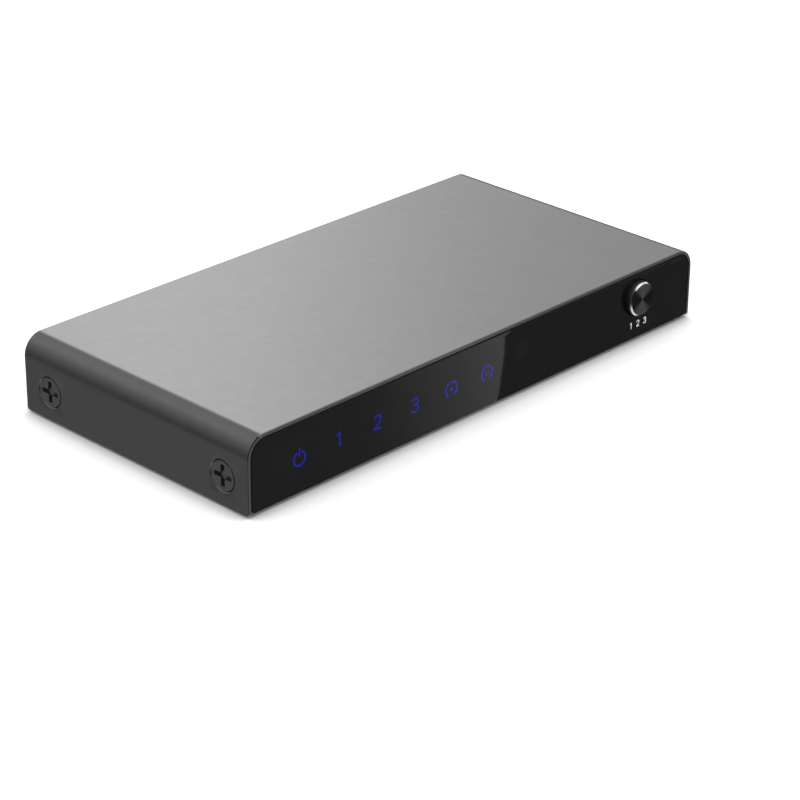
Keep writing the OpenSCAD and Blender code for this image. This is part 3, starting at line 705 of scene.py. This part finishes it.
def build_marks():
    th = 0.02
    gap = 30
    ring = arc_points(0, -0.2, 1.43, 1.43, 90 + gap, 450 - gap, 70)
    mark("legend_power", [(ring, 0.19), ([(0, 0.32), (0, 1.75)], 0.19)], [], on_panel(LEGEND_XS[0], LEGEND_Z), th, "legend_blue")
    for d in (1, 2, 3):
        mark("legend_%d" % d, digit(d, 1.7, (2.72, 2.75, 2.88)[d - 1], 0.18), [], on_panel(LEGEND_XS[d], LEGEND_Z + 0.08), th, "legend_blue")
    strokes, solids = loop_arrow()
    for i, name in ((4, "a"), (5, "b")):
        mark("legend_loop_" + name, strokes, solids, on_panel(LEGEND_XS[i], LEGEND_Z), th, "legend_blue")
    mark("legend_loop_a_dot", [([(0, 0.02), (0, -0.02)], 0.40)], [], on_panel(LEGEND_XS[4], LEGEND_Z), th, "legend_dim")
    mark("legend_loop_b_bars", [([(-0.32, -0.5), (-0.32, 0.5)], 0.15), ([(0.32, -0.5), (0.32, 0.5)], 0.15)], [], on_panel(LEGEND_XS[5], LEGEND_Z), th, "legend_dim")
    # plain numbers under the button, with a faint painted glow, and beside the rear sockets
    for d in (1, 2, 3):
        mark("button_mark_%d" % d, digit(d, 0.72, 1.25, 0.105), [], on_panel(46.2 + (d - 2) * 2.2, 3.8), 0.015, "print_white", 0.012)
        mark("socket_mark_%d" % d, digit(d, 1.0, 1.7, 0.14), [], on_rear(SOCKET_XS[d - 1], 4.6), 0.015, "print_grey", 0.015)


# ---------------------------------------------------------------- rear sockets
def socket_outline(g, r, n=5):
    zb = SOCKET_Z
    pts = [(-7 - g, zb + 4.55 + g), (7 + g, zb + 4.55 + g), (7 + g, zb + 1.95 - 0.4 * g),
           (5.2 + 0.5 * g, zb - g), (-5.2 - 0.5 * g, zb - g), (-7 - g, zb + 1.95 - 0.4 * g)]
    return rounded(pts, r, n)


def build_socket(name, x):
    """Drawn sheet shell with a rolled mouth and four sprung fingers."""
    bm = bmesh.new()
    steps = [(0.0, 0.5, SOCKET_Y0), (0.0, 0.5, SOCKET_Y1 - 0.55), (0.03, 0.53, SOCKET_Y1 - 0.3), (0.09, 0.59, SOCKET_Y1 - 0.08),
             (0.15, 0.65, SOCKET_Y1 - 0.01), (0.22, 0.72, SOCKET_Y1), (0.31, 0.81, SOCKET_Y1 - 0.01), (0.38, 0.88, SOCKET_Y1 - 0.07),
             (0.40, 0.90, SOCKET_Y1 - 0.16), (0.40, 0.90, SOCKET_Y0)]
    loops = [add_ring(bm, [(x + u, y, v) for u, v in socket_outline(g, r)]) for g, r, y in steps]
    for a, b in zip(loops, loops[1:]):
        bridge(bm, a, b)
    bridge(bm, loops[-1], loops[0])
    # fingers: sheet strips bowed into the opening
    for top in (True, False):
        for u0 in (-3.6, 3.6) if top else (-2.9, 2.9):
            wall = SOCKET_Z + 4.55 if top else SOCKET_Z
            sign = -1 if top else 1
            rows = []
            n = 14
            for i in range(n + 1):
                t = i / n
                y = SOCKET_Y1 - 6.2 + 5.4 * t
                bow = 0.42 * math.sin(math.pi * min(1.0, t * 1.05)) ** 1.5
                w = 0.95 - 0.25 * t
                rows.append((y, bow, w))
            a = [add_ring(bm, [(x + u0 + s * w, y, wall + sign * (bow + 0.02 + 0.22)) for y, bow, w in rows]) for s in (-1, 1)]
            b = [add_ring(bm, [(x + u0 + s * w, y, wall + sign * (bow + 0.02)) for y, bow, w in rows]) for s in (-1, 1)]
            bridge(bm, a[0], a[1], False)
            bridge(bm, b[0], b[1], False)
            bridge(bm, a[0], b[0], False)
            bridge(bm, a[1], b[1], False)
            for k in (0, -1):
                bm.faces.new((a[0][k], a[1][k], b[1][k], b[0][k]))
    return finish_mesh(name + "_can", bm, ["socket_nickel"], "housing", [name + "_shell"], 45.0)


# ---------------------------------------------------------------- build
build_cover()
build_screws()
build_panel()
build_button()
build_marks()
for nm, sx in zip(("video_in_1", "video_in_2", "video_in_3", "video_out"), SOCKET_XS):
    build_socket(nm, sx)

# carried-over pieces: material by slot, small edge rounds where an edge can be seen
slot_of = {s["node"]: s["material_slot"] for s in frame["record"]["subparts"]}
for n, ob in nodes_of.items():
    ob.data.materials.clear()
    ob.data.materials.append(MAT[slot_of[n] if slot_of[n] in MAT else "button_side"])
for n, width in (("base_tray", 0.12), ("rear_panel", 0.14), ("rubber_feet", 0.25), ("dc_jack_body", 0.16), ("dc_jack_pin", 0.10),
                 ("video_in_1_insert", 0.10), ("video_in_2_insert", 0.10), ("video_in_3_insert", 0.10), ("video_out_insert", 0.10),
                 ("video_contacts", 0.03)):
    ob = nodes_of[n]
    weld = ob.modifiers.new("weld", "WELD")
    weld.merge_threshold = 1e-6
    bv = ob.modifiers.new("edges", "BEVEL")
    bv.width = width * MM
    bv.segments = 2
    bv.limit_method = "ANGLE"
    bv.angle_limit = math.radians(35)
    bv.harden_normals = True

# ---------------------------------------------------------------- stage
def stage_mesh(name, verts, faces, mat):
    me = bpy.data.meshes.new(name)
    me.from_pydata(verts, [], faces)
    me.materials.append(mat)
    ob = bpy.data.objects.new(name, me)
    scene.collection.objects.link(ob)
    return ob


def floor_material():
    m = bpy.data.materials.new("floor_white_painted_shadow")
    m.use_nodes = True
    nt = m.node_tree
    nt.nodes.clear()
    out = nt.nodes.new("ShaderNodeOutputMaterial")
    diff = nt.nodes.new("ShaderNodeBsdfDiffuse")
    # painted contact shadow: an occlusion ramp darkens the floor's colour near the case
    ao = nt.nodes.new("ShaderNodeAmbientOcclusion")
    ao.samples = 8
    ao.inputs["Distance"].default_value = 0.0045
    nt.links.new(ramp(nt, ao.outputs["AO"], [(0.45, (0.46, 0.46, 0.46)), (0.62, (0.66, 0.66, 0.66)), (0.80, (0.88, 0.88, 0.88)), (0.98, (0.93, 0.93, 0.93))]), diff.inputs["Color"])
    clear = nt.nodes.new("ShaderNodeBsdfTransparent")
    geo = nt.nodes.new("ShaderNodeNewGeometry")
    mix = nt.nodes.new("ShaderNodeMixShader")
    nt.links.new(geo.outputs["Backfacing"], mix.inputs["Fac"])
    nt.links.new(diff.outputs[0], mix.inputs[1])
    nt.links.new(clear.outputs[0], mix.inputs[2])
    nt.links.new(mix.outputs[0], out.inputs["Surface"])
    return m


floor = stage_mesh("floor", [(-8, -8, 0), (8, -8, 0), (8, 8, 0), (-8, 8, 0)], [(0, 1, 2, 3)], floor_material())
floor.visible_glossy = False


def card(name, corners, stops, axis_from, axis_to):
    """An even glowing card for reflections only; its brightness runs from axis_from to axis_to."""
    m = bpy.data.materials.new(name)
    m.use_nodes = True
    nt = m.node_tree
    nt.nodes.clear()
    out = nt.nodes.new("ShaderNodeOutputMaterial")
    em = nt.nodes.new("ShaderNodeEmission")
    tc = nt.nodes.new("ShaderNodeTexCoord")
    a, b = Vector(axis_from), Vector(axis_to)
    d = b - a
    sub = nt.nodes.new("ShaderNodeVectorMath")
    sub.operation = "SUBTRACT"
    sub.inputs[1].default_value = a
    nt.links.new(tc.outputs["Object"], sub.inputs[0])
    dot = nt.nodes.new("ShaderNodeVectorMath")
    dot.operation = "DOT_PRODUCT"
    dot.inputs[1].default_value = d / d.length_squared
    nt.links.new(sub.outputs["Vector"], dot.inputs[0])
    top = max(v for _, v in stops)
    nt.links.new(ramp(nt, dot.outputs["Value"], [(p, (v / top,) * 3) for p, v in stops]), em.inputs["Color"])
    em.inputs["Strength"].default_value = top
    nt.links.new(em.outputs[0], out.inputs["Surface"])
    ob = stage_mesh(name, corners, [tuple(range(len(corners)))], m)
    ob.visible_camera = False
    ob.visible_diffuse = False
    ob.visible_shadow = False
    ob.visible_transmission = False
    return ob


# a low card in front, placed by mirroring the sight lines in the front panel
def in_panel(x, z, depth=-120.0):
    eye = Vector((EYE.x, 2 * PANEL_Y0 - EYE.y, EYE.z))
    d = Vector((x, PANEL_Y0, z)) - eye
    return (eye + d * ((depth - eye.z) / d.z)) * MM


first, last = in_panel(-70, 8.0), in_panel(4.55, 8.0)
slant = (in_panel(0.85, 17.0) - in_panel(8.25, -1.0)).normalized()
run = last - first
run -= slant * run.dot(slant)
card("card_front", [in_panel(-70, -1.0), in_panel(3.57, -1.0), in_panel(5.57, 17.0), in_panel(-70, 17.0)],
     [(0.0, 0.345), (0.42, 0.345), (0.50, 0.375), (0.604, 0.505), (0.738, 0.755), (0.832, 0.925), (0.92, 1.145), (1.0, 1.345)],
     first, first + run)
card("card_front_dim", [in_panel(3.57, -1.0), in_panel(70, -1.0), in_panel(70, 17.0), in_panel(5.57, 17.0)],
     [(0.0, 0.235), (1.0, 0.215)], in_panel(4.55, 8.0), in_panel(70, 8.0))


def mirrored(p, n, reach):
    """The point that a mirror at p facing n shows to the viewpoint, reach millimetres away, kept lower than the cover's top."""
    v = (EYE - p).normalized()
    q = p + (2 * n.dot(v) * n - v) * reach
    return Vector((q.x, q.y, min(q.z, Z1 - 0.05))) * MM


def flag(name, grid):
    """A small black card for reflections only, given as rows of points."""
    w = len(grid[0])
    m = bpy.data.materials.new(name)
    m.use_nodes = True
    tree = m.node_tree
    tree.nodes.clear()
    end = tree.nodes.new("ShaderNodeOutputMaterial")
    black = tree.nodes.new("ShaderNodeEmission")
    black.inputs["Color"].default_value = (0.5, 0.5, 0.5, 1.0)
    black.inputs["Strength"].default_value = 0.02
    tree.links.new(black.outputs[0], end.inputs["Surface"])
    faces = [(r * w + c, r * w + c + 1, (r + 1) * w + c + 1, (r + 1) * w + c) for r in range(len(grid) - 1) for c in range(w - 1)]
    ob = stage_mesh(name, [v for row in grid for v in row], faces, m)
    ob.visible_camera = ob.visible_diffuse = ob.visible_shadow = ob.visible_transmission = False


# beside the button: a narrow strip that its bright cut mirrors on the left
strip = []
for k in range(11):
    t = math.radians(131.5 + 3.65 * k)
    reach = 5.0 + 8.0 * max(0.0, min(1.0, (k - 3) / 6))
    n = Vector((0.765 * math.cos(t), -0.644, 0.765 * math.sin(t)))
    mid = mirrored(Vector((BTN_X + 3.47 * math.cos(t), -32.53, BTN_Z + 3.47 * math.sin(t))), n, reach)
    across = Vector((-math.sin(t), 0.0, math.cos(t))).cross(n).normalized() * 0.18 * reach * MM
    strip.append([mid - across, mid + across])
flag("flag_button", strip)
# off the near top corner: what the rounded sheet edge mirrors there
corner = []
for th in (20.5, 30, 38, 46, 54, 62, 70, 78, 86):
    a = math.radians(th)
    side = Vector((-math.sin(a), 0.0, math.cos(a)))
    row = []
    for ps in (18, 26, 34, 42, 50, 58, 66):
        b = math.radians(ps)
        n = side * math.cos(b) + Vector((0.0, -1.0, 0.0)) * math.sin(b)
        row.append(mirrored(Vector((-(HW - R), -HD + 0.25, Z1 - R)) + side * (R - 0.25) + n * 0.25, n, 1.8))
    corner.append(row)
flag("flag_corner", corner)

# surroundings: even for scattered light, soft lights on a dark studio for reflections
world = bpy.data.worlds.new("studio")
scene.world = world
world.use_nodes = True
nt = world.node_tree
nt.nodes.clear()
out = nt.nodes.new("ShaderNodeOutputWorld")
even = nt.nodes.new("ShaderNodeBackground")
even.inputs["Color"].default_value = (1.0, 1.0, 1.0, 1.0)
even.inputs["Strength"].default_value = 1.55
tc = nt.nodes.new("ShaderNodeTexCoord")
direction = tc.outputs["Generated"]


def maths(op, a, b=None):
    n = nt.nodes.new("ShaderNodeMath")
    n.operation = op
    for i, v in enumerate((a, b)):
        if v is None:
            continue
        if isinstance(v, (int, float)):
            n.inputs[i].default_value = v
        else:
            nt.links.new(v, n.inputs[i])
    return n.outputs[0]


def lobe(turn, rise, spread, power):
    """A soft round light: turn and rise of its middle, spread in degrees."""
    t, e = math.radians(turn), math.radians(rise)
    d = nt.nodes.new("ShaderNodeVectorMath")
    d.operation = "DOT_PRODUCT"
    d.inputs[1].default_value = (math.cos(t) * math.cos(e), math.sin(t) * math.cos(e), math.sin(e))
    nt.links.new(direction, d.inputs[0])
    x = maths("MULTIPLY", maths("SUBTRACT", d.outputs["Value"], 1.0), 1.0 / math.radians(spread) ** 2)
    return maths("MULTIPLY", maths("EXPONENT", x), power)


sep = nt.nodes.new("ShaderNodeSeparateXYZ")
nt.links.new(direction, sep.inputs[0])
height = remap(nt, sep.outputs["Z"], 0.0, 1.0, -1.0, 1.0)
grey = lambda v: (v, v, v)
SKY = [(-1.0, 0.36), (-0.75, 0.38), (-0.44, 0.335), (-0.28, 0.17), (-0.08, 0.18), (0.05, 0.26), (0.22, 0.37), (0.37, 0.43), (0.53, 0.55), (0.64, 0.64), (0.75, 0.55), (1.0, 0.60)]
sky_level = ramp(nt, height, [((z + 1) / 2, grey(v)) for z, v in SKY])
level = sky_level
# lights that only other viewpoints see in the top, then the dark low down and on the left
for light in ((90.0, 17.0, 12.0, 1.0), (177.0, 14.0, 11.0, 0.7), (0.0, 17.0, 12.0, 0.9), (0.0, 90.0, 12.0, 0.9), (270.0, 24.0, 12.0, 0.9), (224.0, 26.0, 12.0, 0.75), (258.0, -20.0, 8.0, 0.9)):
    level = maths("ADD", level, lobe(*light))
for light in ((225.9, -26.0, 28.0, 0.93), (203.0, 33.0, 11.0, 0.95)):
    level = maths("MULTIPLY", level, maths("SUBTRACT", 1.0, lobe(*light)))
# tall soft box behind on the right, brighter in its left half, mirrored by the top of the cover
turn = remap(nt, maths("ARCTAN2", sep.outputs["Y"], sep.outputs["X"]), 0.0, 1.0, -math.pi, math.pi)
BOX = [(10, 0.0), (26, 0.66), (36, 0.76), (40, 0.92), (43, 1.20), (46.5, 1.90), (49, 2.2), (53, 2.2), (61, 0.12), (66, 0.0)]
box = ramp(nt, turn, [((a + 180) / 360, grey(v / 3.0)) for a, v in BOX])
rise = ramp(nt, height, [((z + 1) / 2, grey(v)) for z, v in ((0.08, 0.0), (0.24, 0.78), (0.40, 0.80), (0.45, 0.99), (0.62, 1.0), (0.78, 0.0))])
level = maths("ADD", level, maths("MULTIPLY", maths("MULTIPLY", box, rise), 3.45))
for light in ((-43.7, -26.0, 22.0, 0.16), (106.0, 49.0, 16.0, 0.22), (-37.0, 35.0, 14.0, 0.3), (-56.0, 58.0, 17.0, 1.15), (222.0, -58.0, 13.0, 0.75), (330.0, -76.0, 16.0, 0.9)):
    level = maths("ADD", level, lobe(*light))
sky = nt.nodes.new("ShaderNodeBackground")
nt.links.new(level, sky.inputs["Strength"])
path = nt.nodes.new("ShaderNodeLightPath")
mix = nt.nodes.new("ShaderNodeMixShader")
nt.links.new(path.outputs["Is Glossy Ray"], mix.inputs["Fac"])
nt.links.new(even.outputs[0], mix.inputs[1])
nt.links.new(sky.outputs[0], mix.inputs[2])
nt.links.new(mix.outputs[0], out.inputs["Surface"])

# ---------------------------------------------------------------- camera
cam_data = bpy.data.cameras.new("camera")
cam_data.sensor_width = 36.0
cam_data.lens = 2599.9325 / 800.0 * 36.0
cam_data.clip_start, cam_data.clip_end = 0.01, 100.0
cam = bpy.data.objects.new("camera", cam_data)
scene.collection.objects.link(cam)
cam.matrix_world = Matrix([(RIGHT[i], UP[i], BACK[i], EYE[i] * MM) for i in range(3)] + [(0, 0, 0, 1)])
scene.camera = cam
scene.view_settings.view_transform = "Standard"
scene.view_settings.look = "None"
